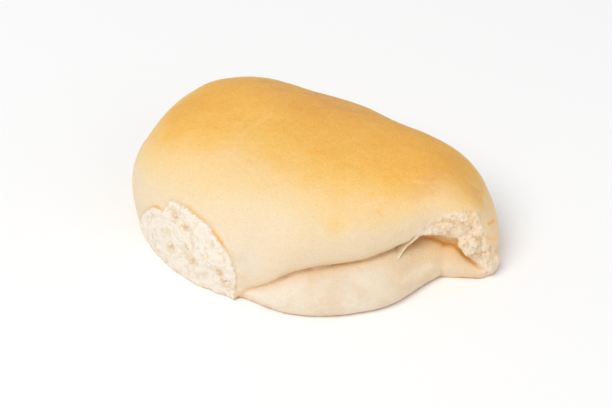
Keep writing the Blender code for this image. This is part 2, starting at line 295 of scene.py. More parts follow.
def depthInside(outline, across, height):
    # how far each point lies inside a closed outline; negative outside
    corners = np.array(outline, float)
    points = np.stack([across, height], axis=1)
    nearest = np.full(len(points), np.inf)
    inside = np.zeros(len(points), bool)
    for start, end in zip(corners, np.roll(corners, -1, axis=0)):
        side = end - start
        share = np.clip((points - start) @ side / (side @ side), 0, 1)
        nearest = np.minimum(nearest, np.linalg.norm(points - start - share[:, None] * side, axis=1))
        if start[1] != end[1]:
            crosses = (start[1] > height) != (end[1] > height)
            inside ^= crosses & (across < start[0] + (height - start[1]) * side[0] / (end[1] - start[1]))
    return np.where(inside, nearest, -nearest)


def onLine(points, start, end):
    # each point's distance to a straight line between two places
    start, way = np.array(start, float), np.array(end, float) - start
    share = np.clip((points - start) @ way / (way @ way), 0, 1)
    return np.linalg.norm(points - start - share[:, None] * way, axis=1)


def finerWhere(mesh, chosen):
    # the mesh with each face between chosen points cut into four
    work = bmesh.new()
    work.from_mesh(mesh)
    whole = [face for face in work.faces if all(chosen[v.index] for v in face.verts)]
    edges = sorted({edge for face in whole for edge in face.edges}, key=lambda edge: edge.index)
    bmesh.ops.subdivide_edges(work, edges=edges, cuts=1, use_grid_fill=True)
    work.to_mesh(mesh)
    work.free()


def cutFlat(mesh):
    # what lies below the sole is cut off, and the cut is closed
    work = bmesh.new()
    work.from_mesh(mesh)
    everything = work.verts[:] + work.edges[:] + work.faces[:]
    cut = bmesh.ops.bisect_plane(
        work, geom=everything, dist=1e-7, plane_co=(0, 0, 0), plane_no=(0, 0, -1), clear_outer=True
    )
    rim = [piece for piece in cut["geom_cut"] if isinstance(piece, bmesh.types.BMEdge)]
    bmesh.ops.edgeloop_fill(work, edges=rim)
    bmesh.ops.recalc_face_normals(work, faces=work.faces[:])
    work.to_mesh(mesh)
    work.free()


def addMask(mesh, name, values):
    mask = mesh.attributes.new(name, "FLOAT", "POINT")
    mask.data.foreach_set("value", np.asarray(values, np.float32))


# The torn places. The left one is outlined as (along, height) in its own upright plane, which starts at
# leftAt, and the right one as (x, height). Of each pair of values the first is the left place's, except in
# rims and ranges, which give where something starts and where it is full. Clumps of crumb that stand out
# hold x, y, z, reach across, reach up and how proud they are.
tears = {
    "leftAt": (-68.0, -17.0),
    "leftWay": (0.78, -0.625),
    "left": [
        (-9, -6), (-8, 9), (-5, 12.5), (-2.5, 16.5), (1, 21), (5, 25), (9, 27), (12, 27), (13, 29.5),
        (14, 32.5), (16.5, 33.4), (20, 33), (23.5, 33.3), (26, 32.4), (29, 32), (32, 31.3), (35, 30.2),
        (37.5, 28), (41, 25), (44, 22.4), (46, 19.5), (47.5, 16), (48.3, 12), (47.8, 8), (47, 3), (46.5, -6),
    ],
    "right": [
        (36, 20), (38.5, 23.2), (40.4, 24.8), (42.7, 26.2), (45.5, 27.6), (48.5, 29), (51.6, 30.2),
        (54.6, 31.4), (57.4, 31.2), (60.2, 30.4), (63.5, 28.4), (66, 25.8), (67.4, 23.2), (68.2, 20),
        (68.8, 16), (69.8, 11.5), (71, 7.5), (71.6, 4), (70.4, 1.4), (68, 1.2), (66.4, 3.4), (64.2, 6),
        (61.6, 8.8), (59.4, 11), (57.6, 13), (56.6, 16), (56, 18.6), (54, 18.2), (51, 18.6), (48, 19),
        (44, 19.2), (40, 18.8),
    ],
    "facing": 0.1, "rightInFrontOf": -14, "away": -50.0,
    "near": -4, "lumpRim": 1,
    "leftWander": 0.35, "rightWander": 0.9, "wanderReach": 5.0,
    "leftFray": 0.4, "rightFray": 2.1, "frayReach": 1.0, "frayDrawn": 0.3,
    "leftRim": (-0.15, 0.35), "rightRim": (-1.2, 2.0), "reliefRim": (-0.6, 2.2), "trace": 0.01,
    "proud": (0.5, 0.15), "rough": (0.6, 0.7), "lump": 3.6,
    "lip": 0.55, "lipAt": 1.3, "lipReach": 1.1, "lipRise": (12, 22),
    "step": 0.4, "stepEdge": (-1.6, -0.2, 0.2),
    "clumpSteep": 1.5, "clumpWander": 3,
    "clumps": [
        (64, -33, 18, 2.4, 4, 0.7), (67, -32, 9, 2.6, 4, 0.8), (50, -32, 25, 2.4, 1.6, 0.6),
        (-31.2, -46, 2.5, 1.3, 3.5, 1.1), (-60, -24.5, 27.5, 3.5, 2, 0.5), (55.8, -29.5, 16, 2.0, 2.6, -1.2),
    ],
}


def tearDepths(points, normals):
    # how far inside the left and the right torn place each point lies, and where along the left one
    atX, atY = tears["leftAt"]
    wayX, wayY = tears["leftWay"]
    along = (points[:, 0] - atX) * wayX + (points[:, 1] - atY) * wayY
    outward = normals[:, 0] * wayY - normals[:, 1] * wayX
    left = depthInside(tears["left"], along, points[:, 2])
    inFront = (normals[:, 1] < tears["facing"]) & (points[:, 1] < tears["rightInFrontOf"])
    right = depthInside(tears["right"], points[:, 0], points[:, 2])
    return (
        np.where(outward > tears["facing"], left, tears["away"]),
        np.where(inFront, right, tears["away"]),
        along,
    )


def tornMasks(points, normals):
    # the torn places with their uneven, frayed edges: where the crumb rises, and where it has its colour
    left, right, along = tearDepths(points, normals)
    near = np.maximum(left, right) > tears["near"]
    for x, y, z, radius in form["lumps"]:
        right = np.maximum(right, radius + tears["lumpRim"] - np.linalg.norm(points - (x, y, z), axis=1))
    wander = lumps(points, tears["wanderReach"])
    left += tears["leftWander"] * wander + tears["leftFray"] * lumps(points, tears["frayReach"], 2, near)
    right += tears["rightWander"] * wander
    raised = np.maximum(smoothStep(left, *tears["leftRim"]), smoothStep(right, *tears["reliefRim"]))
    right += tears["rightFray"] * lumps(points * (1, 1, tears["frayDrawn"]), tears["frayReach"], 2, near)
    torn = np.maximum(smoothStep(left, *tears["leftRim"]), smoothStep(right, *tears["rightRim"]))
    return left, along, wander, raised, torn


# The torn crumb's cottony clumps, finer tufts and open pores. Of each pair the first is the left place's.
# Pits hold x, y, z and reach, and pores crowd about them.
crumb = {
    "seed": 3,  # noise_vector bends another way for each seed
    "bend": 0.7, "bendReach": 1.7, "drawn": 0.45,
    "clump": (0.28, 0.4), "clumpReach": 2.2,
    "tuft": (0.14, 0.24), "tuftReach": (0.9, 1.3), "tuftRise": 1.3,
    "fine": (0.8, 0.35), "fineReach": 0.55,
    "crowd": 0.9, "crowdReach": 6.5, "crowdLess": 0.28, "crowdAtPits": 0.95, "crowdLeast": -0.25,
    "pore": 0.7, "poreReach": 1.9, "poreBend": 0.5, "poreBendReach": 1.2,
    "poreLeast": 0.12, "poreMore": 0.42, "poreUneven": 0.5, "poreTurn": 5.3, "poreSteep": 1.6,
    "pit": 0.45, "pitSteep": 1.5, "pitShare": 0.55, "pitReach": 0.9,
    # where the relief sinks between these depths, a hollow gets painted shade
    "hollowShade": (0.1, 0.75),
    "pitsAt": [
        (-54.6, -29.8, 28.0, 2.4), (-49.6, -34, 27, 1.8), (-56.5, -30.8, 13.6, 2.3),
        (-49.6, -35.5, 18.5, 1.5), (-47.3, -38.1, 12.6, 1.7), (-42.9, -40.4, 8.6, 1.6),
        (-36.6, -44, 12.6, 2.0), (-34.8, -45.4, 8, 2.3), (51, -32.5, 27, 2.0), (56.5, -33, 26, 1.8),
        (61, -33, 24, 2.0), (63.5, -33.5, 20, 2.0), (65.5, -33, 12, 2.0),
    ],
    "calmRise": (7.0, 12.5), "calmest": 0.35, "calmUpTo": 42,
    "rimWithin": (1.2, 4.0), "rimLeast": 0.3, "rimAbove": 15, "leftFrom": -1,
}


def within(value):
    return max(0.0, min(1.0, value))


def crumbAt(spot):
    # the crumb at one place: its height, and a painted shade share for its pores, pits and low hollows
    side = int(spot.x > 0)
    bent = spot + crumb["bend"] * noise.noise_vector(spot / crumb["bendReach"])
    drawn = Vector((bent.x, bent.y, bent.z * crumb["drawn"]))  # fibres run upright
    clump = noise.noise(spot / crumb["clumpReach"])
    fine = crumb["fine"][side] * noise.noise(drawn / crumb["fineReach"])
    tuft = crumb["tuftRise"] * noise.noise(drawn / crumb["tuftReach"][side]) + fine
    height = crumb["clump"][side] * clump + crumb["tuft"][side] * tuft

    pit = 0.0
    for x, y, z, reach in crumb["pitsAt"]:
        pit = max(pit, math.exp(-((bent - Vector((x, y, z))).length_squared) / reach**2))
    crowd = noise.noise(spot / crumb["crowdReach"]) * crumb["crowd"] - crumb["crowdLess"]
    crowd += crumb["crowdAtPits"] * pit
    wobble = crumb["poreBend"] * noise.noise_vector(spot / crumb["poreBendReach"])
    apart, centres = noise.voronoi((spot + wobble) / crumb["poreReach"])
    uneven = crumb["poreUneven"] * noise.noise(centres[0] * crumb["poreTurn"])
    size = crumb["poreLeast"] + crumb["poreMore"] * within(crowd + uneven)
    pore = within(crumb["poreSteep"] * (1 - apart[0] / size)) if crowd > crumb["crowdLeast"] else 0.0

    low, high = crumb["hollowShade"]
    hollowShade = within((-height - low) / (high - low))
    pit = within(crumb["pitSteep"] * pit * (crumb["pitShare"] + noise.noise(bent / crumb["pitReach"])))
    return height - (crumb["pore"] * pore + crumb["pit"] * pit), max(pore, hollowShade, pit)


def crumbRelief(points, left, along, where):
    # the crumb's heights, and the painted shade in its pores, pits and hollows; the left place is calmer low
    # down and along its upper rim
    relief, paintedPoreShade = np.zeros(len(points)), np.zeros(len(points))
    noise.seed_set(crumb["seed"])
    for index in np.where(where)[0]:
        relief[index], paintedPoreShade[index] = crumbAt(Vector(points[index]))
    inLeft = left > crumb["leftFrom"]
    low = atLeast(crumb["calmest"], smoothStep(points[:, 2], *crumb["calmRise"]))
    rim = atLeast(crumb["rimLeast"], smoothStep(left, *crumb["rimWithin"]))
    calm = np.where(inLeft & (along < crumb["calmUpTo"]), low, 1)
    calm = calm * np.where(inLeft & (points[:, 2] > crumb["rimAbove"]), rim, 1)
    return relief * calm, paintedPoreShade * calm


def tornRise(points, left, wander, raised, relief):
    # how far the torn places stand out, with a lip round the left one and a step outside it
    atRight = points[:, 0] > 0
    proud, rough = (np.where(atRight, tears[name][1], tears[name][0]) for name in ("proud", "rough"))
    rise = raised * (proud + rough * lumps(points, tears["lump"]) + relief)
    for x, y, z, reachAcross, reachUp, height in tears["clumps"]:
        apart = (points - (x, y, z)) / (reachAcross, reachAcross, reachUp)
        bump = np.exp(-((apart**2).sum(axis=1)) ** tears["clumpSteep"])
        rise += height * bump * (1 + wander / tears["clumpWander"])
    lip = np.exp(-(((left - tears["lipAt"]) / tears["lipReach"]) ** 2))
    rise += tears["lip"] * lip * smoothStep(points[:, 2], *tears["lipRise"]) * (left > 0)
    outer, middle, inner = tears["stepEdge"]
    return rise - tears["step"] * smoothStep(left, outer, middle) * (1 - smoothStep(left, middle, inner))


# Fine lines on the skin: start, end, reach, how far they rise, and how much darker or paler they are.
marks = {
    "share": 0.8, "uneven": 0.9, "unevenReach": 1.3, "faintest": 0.02,
    "lines": [
        ((67.7, -27.3, 22.7), (70.7, -21.7, 19.8), 0.8, -0.1, 1.0),
        ((67.4, -31, 18.3), (70.6, -27.1, 15), 0.7, -0.05, 1.0),
        ((-29.6, -5.6, 49.4), (-17.7, 5.8, 51), 0.5, 0.05, -0.22),
        ((20.2, -34.4, 37.7), (27.2, -31.2, 38.6), 0.7, 0.06, -0.3),
        ((24.0, -35.6, 35.6), (25.6, -36.5, 33.9), 0.6, -0.15, 0.7),
        # painted highlight along the ridge where the tongue laps over the heel
        ((48.4, -34.9, 2.5), (53, -33.6, 7), 0.8, 0.2, -0.5),
        ((-30.4, -47, 7.1), (-25.6, -46.8, 6.3), 0.45, -0.12, 0.3),
        ((-29.6, -47.2, 13.6), (-27.6, -47.5, 12.4), 0.9, -0.2, 0.22),
        ((14.8, -42.6, 15.2), (18.5, -45.1, 14.2), 0.5, -0.25, 0.25),
        # painted highlight: a pale band along the tongue's shaded lip
        ((33, -45, 8.5), (45, -37, 8.5), 2.2, 0.0, -0.45),
    ],
}


def skinMarks(points):
    rise, tones = np.zeros(len(points)), np.zeros(len(points))
    for start, end, reach, height, tone in marks["lines"]:
        share = np.exp(-((onLine(points, start, end) / reach) ** 2))
        uneven = lumps(points, marks["unevenReach"], 2, share > marks["faintest"])
        share *= marks["share"] + marks["uneven"] * uneven
        rise += height * share
        tones += tone * share
    return rise, tones


# The fold between the upper and the lower half, and the smaller one where the tongue lies over the heel.
# The shade that falls in them is painted into the colour. "along" holds how strongly the fold shows, and
# "wallReach" how far its painted shade runs up the flap, along X.
folds = {
    "inFrontOf": -8, "below": 27, "farthest": 8.0,
    "exactWithin": (1.4, 3.0), "exactInTear": (-2.2, -0.8), "exactBelow": (26, 31),
    "bridged": (0.08, 0.4), "bridgedWithin": 1.8, "bridgedUpTo": (61.5, 64.0),
    "deepest": 1.2, "step": 0.3, "closed": 0.16, "turnIn": 220,
    "mouth": 0.15, "mouthReach": 0.9, "uneven": 0.6, "unevenReach": 2.6, "unevenWithin": 4,
    "along": [
        (-34, 0.1), (-22, 0.25), (-12, 0.65), (0, 1), (24, 0.9), (30, 0.5), (39, 0.35), (44, 0.65),
        (48, 1), (63, 1), (66.5, 0.1),
    ],
    # heelLine is painted shade along the crease where the tongue lies over the heel.
    "heelDepth": 0.5, "heelReach": 0.6, "heelBelow": (5, 10), "heelFade": 9.0, "heelLine": 0.25,
    # colourReach and lineReach: how far the painted shade and the painted dark line reach from the fold.
    "colourReach": 3.4, "lineReach": 1.0, "lowerEdge": (0.02, 0.7),
    # wallTone and cornerTone are painted shade on the flap's wall inside the mouth and in the corner by the
    # web.
    "wallTone": 0.55, "wallLeast": 1.5, "wallSteep": 4,
    "wallReach": [(34, 0.5), (39, 4.2), (50, 4.2), (53, 5.4), (56.5, 5.2), (59, 1.2)],
    "corner": (38.4, -28.6, 14.5), "cornerReach": 2.6, "cornerTone": 0.4,
}


def inwardOf(point):
    # the way into the bread, along the floor
    return np.array([-point[0] / folds["turnIn"], 1, 0])


def seamOf(gaps):
    # the distance to the fold between the halves
    return np.maximum(gaps[0], np.minimum(gaps[1], gaps[2]))


class Folds:
    # the bodies' surfaces, to measure how far a point is from each
    def __init__(self, flapBody, tongueBody, heelBody, *lumpBodies):
        self.trees = [BVHTree.FromPolygons(*body) for body in (flapBody, tongueBody, heelBody)]
        self.all = self.trees + [BVHTree.FromPolygons(*body) for body in lumpBodies]

    def gaps(self, points):
        near = (points[:, 1] < folds["inFrontOf"]) & (points[:, 2] < folds["below"])
        found = np.full((3, len(points)), folds["farthest"])
        for row, tree in zip(found, self.trees):
            for index in np.where(near)[0]:
                hit = tree.find_nearest(Vector(points[index]), folds["farthest"])
                if hit[0] is not None:
                    row[index] = hit[3]
        return found

    def nearest(self, point):
        return min((tree.find_nearest(Vector(point)) for tree in self.all), key=lambda hit: hit[3])

    def creaseDepth(self, point):
        # how far in from this point the two sides of a crease meet
        for depth in np.arange(0, folds["deepest"], folds["step"]):
            if self.nearest(point + depth * inwardOf(point))[3] < folds["closed"]:
                return depth
        return folds["deepest"]


def evenDough(bodies, bodyFolds):
    # the dough's skin, fused and evened out, with small faces along the folds and in the torn places
    mesh = fusedMesh(meshOf("coco_bread_dough", bodies), form["voxel"])
    edges = rowsOf(mesh.edges, "vertices", 2, int)
    points = evenOut(pointsOf(mesh), edges, form["skinPasses"], form["evenShare"])
    crown = smoothStep(points[:, 2:], *form["crownRise"])
    place(mesh, evenOut(points, edges, form["crownPasses"], form["evenShare"] * crown))
    for foldReach, tearReach in form["finer"]:
        points = pointsOf(mesh)
        left, right, _ = tearDepths(points, normalsOf(mesh))
        chosen = (np.maximum(left, right) > -tearReach) | (seamOf(bodyFolds.gaps(points)) < foldReach)
        finerWhere(mesh, chosen & (points[:, 2] > form["finerAbove"]))
    return mesh


def closeCreases(mesh, bodyFolds):
    # the even mesh bridges the narrow crease: its faces there are pushed in until the two sides meet, and
    # the skin near a fold or low in a torn place is laid on the bodies again
    points = pointsOf(mesh)
    left, right, _ = tearDepths(points, normalsOf(mesh))
    gaps = bodyFolds.gaps(points)
    seam = seamOf(gaps)
    exact = smoothStep(np.maximum(left, right), *folds["exactInTear"])
    exact *= 1 - smoothStep(points[:, 2], *folds["exactBelow"])
    exact = np.maximum(exact, 1 - smoothStep(seam, *folds["exactWithin"]))
    bridged = smoothStep(gaps.min(axis=0), *folds["bridged"]) * (seam < folds["bridgedWithin"])
    bridged *= 1 - smoothStep(points[:, 0], *folds["bridgedUpTo"])
    for index in np.where(exact > 0)[0]:
        if bridged[index] > 0:
            points[index] += bridged[index] * bodyFolds.creaseDepth(points[index]) * inwardOf(points[index])
        points[index] += exact[index] * (np.array(bodyFolds.nearest(points[index])[0]) - points[index])
    place(mesh, points)


def foldPress(points, gaps):
    # how strongly the fold shows, how unevenly, how far the heel's own fold is, and how deep both press in
    seam = seamOf(gaps)
    strength = np.interp(points[:, 0], *np.array(folds["along"]).T)
    unevenness = lumps(points, folds["unevenReach"], 2, seam < folds["unevenWithin"])
    uneven = strength * (1 + folds["uneven"] * unevenness)
    heelSeam = np.maximum(gaps[1], gaps[2])
    heelSeam += folds["heelFade"] * smoothStep(points[:, 2], *folds["heelBelow"])
    press = folds["mouth"] * np.exp(-seam / folds["mouthReach"]) * uneven
    press += folds["heelDepth"] * np.exp(-heelSeam / folds["heelReach"])
    return strength, uneven, heelSeam, press


def foldShades(points, gaps, strength, uneven, heelSeam):
    # painted shade: the masks that darken the folds where shade falls, a wide soft shade and a narrow dark
    # line
    seam = seamOf(gaps)
    isLower = np.minimum(gaps[1], gaps[2]) < gaps[0]
    wallReach = np.interp(points[:, 0], *np.array(folds["wallReach"]).T)
    wall = np.where(isLower, 0, np.exp(-((seam / wallReach) ** folds["wallSteep"])))
    corner = np.exp(-((points - folds["corner"]) ** 2).sum(axis=1) / folds["cornerReach"] ** 2)
    shade = np.maximum(wall, isLower * np.exp(-seam / folds["colourReach"]))
    line = np.exp(-((seam / folds["lineReach"]) ** 2)) * uneven
    line += folds["heelLine"] * np.exp(-((heelSeam / folds["heelReach"]) ** 2))
    line += folds["wallTone"] * wall * (wallReach > folds["wallLeast"]) + folds["cornerTone"] * corner
    return np.maximum(shade, corner) * strength, line


# Where the crust has taken colour: along X, the height where the gold is half there, and how softly it
# passes from cream to gold. Spots and patches hold their place, reach and strength.
baking = {
    "edge": [
        (-80, 33.6, 2.4), (-70, 34.2, 2.3), (-60, 40, 2.8), (-50, 43.2, 3.4), (-40, 44.2, 3.4),
        (-30, 45.4, 3.5), (-20, 44.6, 3.5), (-10, 43, 3.6), (0, 40, 4), (10, 38.6, 4), (20, 37.6, 3.8),
        (30, 35.2, 3.2), (40, 34.8, 2.8), (50, 34.5, 2.4), (60, 30.6, 2.8), (70, 23.0, 4.0), (80, 19, 4.5),
    ],
    "behind": 3.0, "behindRise": (0, 30),
    "wander": 1.4, "wanderReach": 20.0,
    "spots": [
        ((7.3, -40.8, 32.5), 3.6, 0.42), ((13, -38.5, 33.5), 4.5, 0.16), ((58, -14, 40), 13, 0.08),
        ((-52, 14, 47), 14, 0.08), ((2, 14, 50), 16, 0.08), ((24, -38, 33), 6, 0.18),
        ((46, -26, 36), 9, -0.07),
    ],
    "pale": [((-29, -46.5, 18), 8.5, 0.8), ((51.5, -27, 36), 8, 0.4)],
    # The dull patches darken the baked crust: partly duller crust, partly painted shade on the far top and
    # right side.
    "dullAndShade": [
        ((-8, 34, 45), 18, 1.0), ((14, 18, 46), 13, 0.8), ((66, -16, 31), 9, 0.5), ((-40, 44, 40), 14, 0.4),
        ((45, -26, 38), 10, 0.5),
    ],
    "dullAndShadeOn": (0.45, 0.9),
    # Painted light: along the tongue's shaded lip on the right, the warm tint is taken away so the lip stays
    # pale.
    "paintedLightEdge": ((33, -45, 8.5), (45, -37, 8.5)), "paintedLightReach": 2.4, "cool": 0.8,
    "warmAlong": (16, 44), "warmUp": (5, 11), "warmLeast": 0.5,
    # The blush is partly a peach tone and partly painted light that brightens the lower right side, which
    # lies in shade.
    "blushAndLight": 0.8, "blushAndLightAlong": (58, 68), "blushAndLightBelow": (20, 30), "blushAndLightInFront": (-14, 8),
    "soleBelow": (0.4, 1.4), "soleOffCrumb": 0.6,
}
# Painted shadow: along the left tear, the crust's golden edge is darkened orange where the crumb's raised
# rim would shade it. The spots hold the place along the tear, reach and strength.
rimShadow = {"within": (-1.3, -0.1), "spots": [(-4, 1.5, 0.5), (7.5, 4, 0.8), (28, 5, 0.6), (39.5, 3.8, 1.0)]}


def bakedAt(points):
    edgeX, edgeHeight, edgeSoftness = np.array(baking["edge"], float).T
    middle = np.interp(points[:, 0], edgeX, edgeHeight)
    middle -= baking["behind"] * smoothStep(points[:, 1], *baking["behindRise"])
    height = points[:, 2] + baking["wander"] * lumps(points, baking["wanderReach"])
    baked = 1 / (1 + np.exp((middle - height) / np.interp(points[:, 0], edgeX, edgeSoftness)))
    for spot, reach, strength in baking["spots"]:
        baked += strength * np.exp(-((np.linalg.norm(points - spot, axis=1) / reach) ** 2))
    return baked


def patchesAt(points, patches):
    # the strongest of some soft patches at each point
    found = np.zeros(len(points))
    for spot, reach, strength in patches:
        found = np.maximum(found, strength * np.exp(-((np.linalg.norm(points - spot, axis=1) / reach) ** 2)))
    return found


def rimShadowAt(depth, along):
    # painted shadow just outside the left tear's rim
    strength = np.zeros(len(along))
    for at, reach, most in rimShadow["spots"]:
        strength = np.maximum(strength, most * np.exp(-(((along - at) / reach) ** 2)))
    return strength * smoothStep(depth, *rimShadow["within"])


def skinMasks(points, gaps, torn):
    # the masks that colour the skin
    x, y, z = points.T
    baked = bakedAt(points)
    lower = smoothStep(gaps[0] - np.minimum(gaps[1], gaps[2]), *folds["lowerEdge"])
    # painted light: the warm tint fades along the tongue's shaded lip
    cool = baking["cool"] * np.exp(-((onLine(points, *baking["paintedLightEdge"]) / baking["paintedLightReach"]) ** 2))
    warm = atLeast(baking["warmLeast"], smoothStep(z, *baking["warmUp"]))
    # the blush: partly peach tone, partly painted light on the shaded lower right side
    blushAndLight = smoothStep(x, *baking["blushAndLightAlong"]) * (1 - smoothStep(z, *baking["blushAndLightBelow"]))
    return {
        "baked": baked,
        "lower": np.maximum(lower, patchesAt(points, baking["pale"])),
        "warm": warm * smoothStep(x, *baking["warmAlong"]) * (1 - cool),
        "dullAndShade": patchesAt(points, baking["dullAndShade"]) * smoothStep(baked, *baking["dullAndShadeOn"]),
        "blushAndLight": baking["blushAndLight"] * blushAndLight * (1 - smoothStep(y, *baking["blushAndLightInFront"])),
        "sole": (1 - smoothStep(z, *baking["soleBelow"])) * (1 - baking["soleOffCrumb"] * torn),
    }


def makeBread():
    bodies = [makeFlap(), makePillow(tongue), makePillow(heel), *(makeLump(*lump) for lump in form["lumps"])]
    bodyFolds = Folds(*bodies)
    mesh = evenDough(bodies, bodyFolds)
    closeCreases(mesh, bodyFolds)
    points, normals = pointsOf(mesh), normalsOf(mesh)
    print("dough shaped:", len(points), "points")

    left, along, wander, raised, torn = tornMasks(points, normals)
    relief, paintedPoreShade = crumbRelief(points, left, along, torn > tears["trace"])
    lineRise, marked = skinMarks(points)
    gaps = bodyFolds.gaps(points)
    strength, uneven, heelSeam, press = foldPress(points, gaps)
    rise = form["wave"] * lumps(points, form["waveReach"]) + lineRise - press
    rise += tornRise(points, left, wander, raised, relief)
    points = points + normals * rise[:, None]
    place(mesh, points)
    print("relief worked")

    # painted shade: the fold masks darken the folds, the mouth's wall and the corner by the web
    fold, line = foldShades(points, gaps, strength, uneven, heelSeam)
    # the pore mask is painted shade in the crumb's pores, pits and hollows
    masks = {"crumb": torn, "pore": paintedPoreShade * torn, "fold": fold, "line": line, "mark": marked}
    # painted shadow: the rim mask darkens the crust's golden edge under the left tear's raised crumb rim
    masks["rim"] = rimShadowAt(left, along) * (1 - torn)
    masks.update(skinMasks(points, gaps, torn))
    for name, values in masks.items():
        addMask(mesh, name, values)
    cutFlat(mesh)
    return mesh


# The thin web of dough that spans the fold's mouth. Its free edge is a strand, beaded and thinner towards
# its lower end, and a narrow sheet runs back from it into the mouth.
web = {
    "edge": [
        (41.4, -32.0, 22.4), (40.0, -33.4, 21.6), (38.8, -34, 20.4), (37.6, -34.1, 19.2), (36.5, -34.1, 18.0),
        (35.3, -34.5, 16.9), (34.1, -35.8, 15.7), (32.9, -37.9, 14.9), (32.2, -38.8, 13.6),
    ],
    "rings": 61, "beadPoints": 9, "sheetShares": (0.25, 1.0),
    "inward": (-4.4, 4.2, -0.8), "thick": 0.22,
    "bead": 0.6, "taper": 0.5, "uneven": 0.25, "unevenTurns": (0.9, 0.37),
    # sheetPaintedShade is painted shade on the sheet, which lies back in the mouth's shadow.
    "sheetPaintedShade": (0.0, 0.15), "warm": 0.6,
}


def makeWeb():
    # the strand goes round as one half of a closed curve that comes back along itself
    edge = closedCurve([*web["edge"], *reversed(web["edge"])], 2 * web["rings"] - 1)[:, :web["rings"]]
    way = np.gradient(edge, axis=1)
    way /= np.linalg.norm(way, axis=0)
    sheet = np.array(web["inward"], float)
    inward = sheet / np.linalg.norm(sheet)
    first, second = web["unevenTurns"]
    shades, rings = [], []
    for k in range(web["rings"]):
        out = np.cross(way[:, k], sheet)
        out /= np.linalg.norm(out)
        uneven = 1 + web["uneven"] * math.sin(k * first) * math.sin(k * second)
        swell = web["bead"] * uneven * (1 - web["taper"] * k / web["rings"])
        turns = np.linspace(-math.pi / 2, math.pi / 2, web["beadPoints"])
        ring = [edge[:, k] - inward * swell * math.cos(t) + out * swell * math.sin(t) for t in turns]
        ring += [edge[:, k] + sheet * share + out * web["thick"] for share in web["sheetShares"]]
        ring += [edge[:, k] + sheet * share - out * web["thick"] for share in reversed(web["sheetShares"])]
        rings.append(np.array(ring).T)
        # the sheet's points carry painted shade, the strand's beads none
        shades += [0.0] * len(turns) + [*web["sheetPaintedShade"], *reversed(web["sheetPaintedShade"])]
    mesh = meshOf("coco_bread_web", [loft(rings, rings[0].mean(axis=1), rings[-1].mean(axis=1))])
    addMask(mesh, "fold", [*shades, 0.0, 0.0])
    addMask(mesh, "lower", np.ones(len(mesh.vertices)))
    addMask(mesh, "warm", np.full(len(mesh.vertices), web["warm"]))
    print("web spanned:", len(mesh.vertices), "points")
    return mesh


def srgb(red, green, blue):
    # a colour as a picture shows it, in the linear values that a shader takes
    values = [channel / 255 for channel in (red, green, blue)]
    return (*(v / 12.92 if v < 0.04045 else ((v + 0.055) / 1.055) ** 2.4 for v in values), 1.0)


# The colours, and how much of each shows. Where a noise brings a colour in, the pair or four values are the
# noise's range and the shares at its ends.
crust = {
    "ramp": [
        (0.0, srgb(236, 215, 184)), (0.18, srgb(238, 213, 168)), (0.36, srgb(241, 210, 155)),
        (0.54, srgb(243, 206, 144)), (0.72, srgb(244, 196, 108)), (0.82, srgb(242, 185, 88)),
        (0.92, srgb(237, 175, 80)), (1.0, srgb(229, 162, 72)),
    ],
    "full": 0.9, "mottled": 0.22, "grained": 0.2,
    # dull is partly duller crust and partly painted shade on the far top and right side
    "dullAndShade": srgb(221, 164, 104), "streaked": (0.44, 0.58, 0.1, 1.0),
    # blush is partly a peach tone and partly painted light on the shaded right side
    "blushAndLight": srgb(253, 212, 160),
    "lip": srgb(235, 223, 204), "lipTan": srgb(229, 211, 185), "tanned": (0.42, 0.66),
    "lipWarm": srgb(229, 201, 165), "lipGold": srgb(234, 204, 157), "gilded": (0.42, 0.64),
    "deep": srgb(205, 140, 70),
    "freckle": (0.03, 0.06, 1.0, 0.0), "freckleScale": 230.0, "freckled": (0.4, 0.62, 0.0, 0.5),
    "crumb": srgb(240, 230, 215), "crumbWarm": srgb(238, 219, 193),
    "patch": srgb(231, 211, 183), "patchWarm": srgb(215, 181, 137), "patched": (1.0, 1.25, 0.0, 0.85),
    # pore is the painted shade colour in the crumb's pores, pits and hollows
    "pore": srgb(219, 184, 138), "poreShadeShare": 0.8,
    # rim is painted shadow under the left tear's crumb rim; pale is partly painted highlight on the tongue's
    # lip
    "rim": srgb(243, 184, 88), "dash": srgb(246, 186, 90), "pale": srgb(247, 228, 190),
    "speck": srgb(96, 58, 26), "specked": 0.6,
    # fold and line are painted shade: a soft tan where shade falls by the folds, and a dark line in the
    # crease
    "fold": srgb(224, 181, 120), "foldShare": 0.8,
    "line": srgb(211, 150, 74), "lineShare": 0.85,
    "sole": srgb(214, 148, 76), "scorched": (0.3, 0.6, 0.3, 0.9),
    "roughness": 0.55, "crumbRoughness": 0.9, "shine": 0.3,
    "softness": 0.3, "softRadius": (1.0, 0.86, 0.65), "softScale": 0.002,
    "bumpStrength": 0.6, "bumpDepth": 0.0004, "skinBump": 1.5,
}
# The noises: lumps for each metre, levels of finer ones, how strong those are, and the stretch along X, Y, Z.
noises = {
    "mottle": (90, 4, 0.6, (1, 1.6, 1.6)), "streaks": (110, 4, 0.7, (0.45, 1.6, 1.3)),
    "grain": (1100, 2, 0.7, (1, 1, 1)), "coarseGrain": (430, 3, 0.7, (1, 1, 1.4)),
    "tan": (70, 3, 0.6, (1, 1, 1)), "gold": (330, 3, 0.7, (1, 1, 1)), "freckles": (160, 0, 0.5, (1, 1, 1)),
    "blotches": (240, 2, 0.5, (1, 1, 1)), "fibres": (620, 3, 0.6, (1, 1, 0.5)),
    "specks": (1700, 2, 0.8, (1, 1, 1)), "scorch": (300, 2, 0.5, (1, 1, 1)),
    "fineBump": (900, 3, 0.6, (1, 1, 1)), "skinBump": (260, 2, 0.5, (1, 1, 1)),
}


def newNode(tree, kind, **settings):
    made = tree.nodes.new("ShaderNode" + kind)
    for key, value in settings.items():
        setattr(made, key, value)
    return made


def plug(tree, socket, value):
    if isinstance(value, bpy.types.NodeSocket):
        tree.links.new(value, socket)
    else:
        socket.default_value = value


